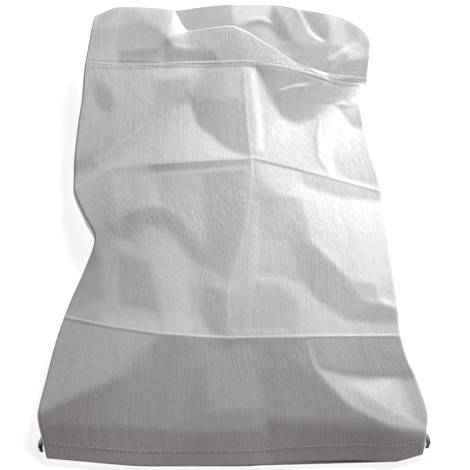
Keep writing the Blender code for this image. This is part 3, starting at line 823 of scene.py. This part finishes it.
def corner(side):
    """The point of the side fold at the foot seam."""
    top = read_at(upper_grid, FOOT_SEAM, np.array([side]))[0, :3]
    return np.array((top[0] + side * CORNER_OUT, top[1], CORNER_HEIGHT))


def tuft(side):
    """Strands k from a corner: out TUFT_OUT·sin, along TUFT_REACH·f and down to the floor.

    Sines of k give each strand its own share of every length, so the tuft looks random.
    """
    f = np.linspace(0.0, 1.0, TAIL_RINGS)
    k = np.arange(TUFT_STRANDS)[:, None]
    share = 0.55 + 0.45 * np.sin(2.4 * k + 0.7)
    out = TUFT_OUT * (0.35 + 0.65 * share) * np.sin(1.9 * f) + 0.0012 * np.sin(7.0 * f + 1.7 * k) * f
    along = TUFT_REACH * (0.45 + 0.55 * np.abs(np.sin(1.3 * k + 0.4))) * f**1.3 - 0.008 * (k % 3 == 2) * f - TUFT_BACK
    height = STRAND_RADIUS + ABOVE_FLOOR + CORNER_HEIGHT * (1.0 - f)**2 * 0.8
    height = height + 0.0016 * np.abs(np.sin(2.0 * k)) * np.sin(np.pi * f)
    centres = np.stack([side * out, along, height], axis=-1) + corner(side) * (1.0, 1.0, 0.0)
    up = np.broadcast_to(UP, centres.shape)
    thin = (STRAND_RADIUS * (1.0 - 0.5 * f))[:, None, None]
    return rings_of(centres, up, thin), ring_faces(TUFT_STRANDS, TAIL_RINGS)


def tail(side):
    """The needle thread's cut end: out from the corner and a little back, while it falls to the floor."""
    f = np.linspace(0.0, 1.0, TAIL_RINGS)
    height = THREAD_RADIUS + ABOVE_FLOOR + CORNER_HEIGHT * (1.0 - f)**2
    centres = np.stack([side * TAIL_LENGTH * f, -TAIL_DRIFT * f**1.5, height], axis=-1)
    centres = (centres + corner(side) * (1.0, 1.0, 0.0))[None]
    return rings_of(centres, np.broadcast_to(UP, centres.shape), THREAD_RADIUS), ring_faces(1, TAIL_RINGS)


needle_parts = [stitches(*seam_line(upper_grid, FOOT_SEAM, 1.0)), tail(-1.0), tail(1.0)]
needle = add_mesh("foot_needle_stitches", *joined(needle_parts), "white_thread")
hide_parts("foot_needle_thread")
looper_parts = [stitches(*seam_line(below_grid, FOOT_SEAM, -1.0)), tuft(-1.0), tuft(1.0)]
looper = add_mesh("foot_looper_stitches", *joined(looper_parts), "dark_thread")
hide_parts("foot_looper_thread")
print("foot stitches", len(needle.data.vertices), "and", len(looper.data.vertices), "points")

# %% [markdown]
# ## Finishes
# The cloth is a plain weave of flat polypropylene tape, 2.5 mm wide. Each tape rises in the
# middle and dips under the next one, so the height is |sin| across whichever tape lies on
# top. Tapes differ a little in tone, which gives fine streaks along and across the sack. The
# pattern uses the place on the flat cloth, so it follows every fold. Node maths is long to
# write out, so a small class lets a socket be added and multiplied like a number.

# %% Shader tools
class Value:
    """A socket that adds and multiplies like a number."""

    def __init__(self, finish, socket):
        self.finish, self.socket = finish, socket

    def math(self, operation, *others):
        """A Math node with this socket as its first input."""
        return self.finish.node("ShaderNodeMath", {"operation": operation}, dict(enumerate((self, *others))))

    def __add__(self, other):
        return self.math("ADD", other)

    def __mul__(self, other):
        return self.math("MULTIPLY", other)

    def __sub__(self, other):
        return self.math("SUBTRACT", other)

    def __rsub__(self, other):
        return self * -1.0 + other

    def __gt__(self, other):
        return self.math("GREATER_THAN", other)

    __radd__, __rmul__ = __add__, __mul__


class Finish:
    """A material and one way to add nodes to it."""

    def __init__(self, name, colour, roughness):
        self.material = bpy.data.materials.new(name)
        self.material.use_nodes = True
        self.tree = self.material.node_tree
        self.shader = self.tree.nodes["Principled BSDF"]
        self.shader.inputs["Base Color"].default_value = (*colour, 1.0)
        self.shader.inputs["Roughness"].default_value = roughness

    def node(self, kind, settings, inputs, output=0):
        """A node with its settings, then its inputs, as one of its outputs."""
        made = self.tree.nodes.new(kind)
        for key, value in settings.items():
            setattr(made, key, value)
        for key, value in inputs.items():
            self.give(made.inputs[key], value)
        return Value(self, made.outputs[output])

    def give(self, socket, value):
        """Links or sets one input."""
        if isinstance(value, Value):
            self.tree.links.new(value.socket, socket)
        else:
            socket.default_value = value


# %% Woven cloth
TAPE = 0.0025
STREAK_LENGTH = 0.12
BAND = 0.010
BAND_LENGTH = 0.40
MOTTLE = (0.02, 0.03)
DARKEST_TAPE = (0.465, 0.452, 0.448, 1.0)
LIGHTEST_TAPE = (0.690, 0.673, 0.670, 1.0)
WARP_SHARE, BAND_SHARE, WEFT_SHARE, PAINTED_CROWN_SHADE_SHARE, MOTTLE_SHARE = 0.55, 0.35, 0.15, 0.06, 0.12
TAPE_RELIEF, WARP_RELIEF, MOTTLE_RELIEF = 0.3, 1.0, 2.0
LEAST_ROUGHNESS = 0.36
ROUGHNESS_SPREAD = 0.16
weave = Finish("woven_tape", (0.60, 0.585, 0.58), 0.45)
place = weave.node("ShaderNodeAttribute", {"attribute_name": "cloth_place"}, {}, "Vector")
split = weave.node("ShaderNodeSeparateXYZ", {}, {0: place}).socket.node
across, along = Value(weave, split.outputs[0]), Value(weave, split.outputs[1])


def streaks(x_scale, y_scale):
    """Noise stretched along the tapes: fine across them and long along them, from 0 to 1."""
    stretched = weave.node("ShaderNodeCombineXYZ", {}, {0: across * x_scale, 1: along * y_scale})
    return weave.node("ShaderNodeTexNoise", {}, {"Vector": stretched, "Scale": 1.0, "Detail": 3.0, "Roughness": 0.6})


warp_wave = (across * (math.pi / TAPE)).math("SINE")
weft_wave = (along * (math.pi / TAPE)).math("SINE")
warp_on_top = warp_wave * weft_wave > 0.0
tape_height = warp_on_top * warp_wave.math("ABSOLUTE") + (1.0 - warp_on_top) * weft_wave.math("ABSOLUTE")
warp_tone = streaks(1.0 / TAPE, 1.0 / STREAK_LENGTH)
weft_tone = streaks(1.0 / STREAK_LENGTH, 1.0 / TAPE)
mottle = streaks(1.0 / MOTTLE[0], 1.0 / MOTTLE[1])
bands = streaks(1.0 / BAND, 1.0 / BAND_LENGTH)
tone = warp_tone * WARP_SHARE + bands * BAND_SHARE + weft_tone * WEFT_SHARE
# Painted shade: the crowns of the tapes are painted a little lighter and the dips between them a little darker.
tone = tone + tape_height * PAINTED_CROWN_SHADE_SHARE + mottle * MOTTLE_SHARE
colour = weave.node("ShaderNodeMix", {"data_type": "RGBA"}, {0: tone, 6: DARKEST_TAPE, 7: LIGHTEST_TAPE}, 2)
weave.give(weave.shader.inputs["Base Color"], colour)
weave.give(weave.shader.inputs["Roughness"], mottle * ROUGHNESS_SPREAD + LEAST_ROUGHNESS)
relief_height = tape_height * TAPE_RELIEF + warp_tone * WARP_RELIEF + mottle * MOTTLE_RELIEF
bump = weave.node("ShaderNodeBump", {}, {"Strength": 0.5, "Distance": 0.0006, "Height": relief_height})
weave.give(weave.shader.inputs["Normal"], bump)
sack.data.materials.append(weave.material)
print("nodes of the woven cloth", len(weave.tree.nodes))

# %% [markdown]
# ## The thread's finish
# Sewing thread is twisted and matt, with a fine roughness that shows only close up. A little
# bump from a noise does it, on Object coordinates.

# %% Threads
TWIST = 1500.0
for finish, pieces in ((Finish("twisted_white_thread", (0.62, 0.61, 0.59), 0.6), hem_pieces + [needle]),
                       (Finish("twisted_dark_thread", (0.045, 0.044, 0.042), 0.65), [looper])):
    spot = finish.node("ShaderNodeTexCoord", {}, {}, "Object")
    fibre = finish.node("ShaderNodeTexNoise", {}, {"Vector": spot, "Scale": TWIST, "Detail": 2.0})
    rough = finish.node("ShaderNodeBump", {}, {"Strength": 0.4, "Distance": 0.0002, "Height": fibre})
    finish.give(finish.shader.inputs["Normal"], rough)
    for piece in pieces:
        piece.data.materials.append(finish.material)
print("materials", [m.name for m in bpy.data.materials])

# %% [markdown]
# ## Floor, light and background
# The sack lies on a plain pale floor by a window. One large soft lamp stands for the window,
# beyond the mouth, a little to the right and low, because a low light brings out folds. A
# weak warm sky fills the shade, and the floor glows a little, so that it stays nearly white.

# %% Floor, light and background
FLOOR_HALF = 4.0
FLOOR_GLOW = 0.7
SKY_COLOUR = (1.0, 0.89, 0.855, 1.0)
SKY_STRENGTH = 0.20
WINDOW_ELEVATION = 19.0
WINDOW_DISTANCE = 2.8
WINDOW_SIZE = (1.4, 1.0)
WINDOW_WATTS = 182.0
WINDOW_COLOUR = (0.922, 0.966, 1.0)
floor_corners = [(x * FLOOR_HALF, y * FLOOR_HALF, 0) for x, y in ((-1, -1), (1, -1), (1, 1), (-1, 1))]
floor_mesh = bpy.data.meshes.new("floor")
floor_mesh.from_pydata(floor_corners, [], [(0, 1, 2, 3)])
floor = placed("floor", floor_mesh)
floor_finish = Finish("floor", (0.95, 0.95, 0.95), 0.9)
floor_finish.give(floor_finish.shader.inputs["Emission Color"], (1.0, 1.0, 1.0, 1.0))
floor_finish.give(floor_finish.shader.inputs["Emission Strength"], FLOOR_GLOW)
floor_mesh.materials.append(floor_finish.material)

world = bpy.data.worlds.new("studio")
world.use_nodes = True
world.node_tree.nodes["Background"].inputs["Color"].default_value = SKY_COLOUR
world.node_tree.nodes["Background"].inputs["Strength"].default_value = SKY_STRENGTH
bpy.context.scene.world = world


def softbox(name, azimuth, elevation, distance, size, watts, colour):
    """An oblong lamp at a distance, azimuth from the far side towards the right, looking at the sack."""
    lamp_data = bpy.data.lights.new(name, "AREA")
    lamp_data.shape = "RECTANGLE"
    lamp_data.size, lamp_data.size_y = size
    lamp_data.energy = watts
    lamp_data.color = colour
    lamp = placed(name, lamp_data)
    a, e = math.radians(azimuth), math.radians(elevation)
    away = np.array((math.sin(a) * math.cos(e), math.cos(a) * math.cos(e), math.sin(e)))
    lamp.location = away * distance
    lamp.rotation_euler = (math.pi / 2 - e, 0.0, math.pi - a)
    return lamp


window = softbox("window", WINDOW_AZIMUTH, WINDOW_ELEVATION, WINDOW_DISTANCE, WINDOW_SIZE, WINDOW_WATTS, WINDOW_COLOUR)
bpy.context.scene.view_settings.view_transform = "Standard"
print("the window stands at", [round(c, 2) for c in window.location])
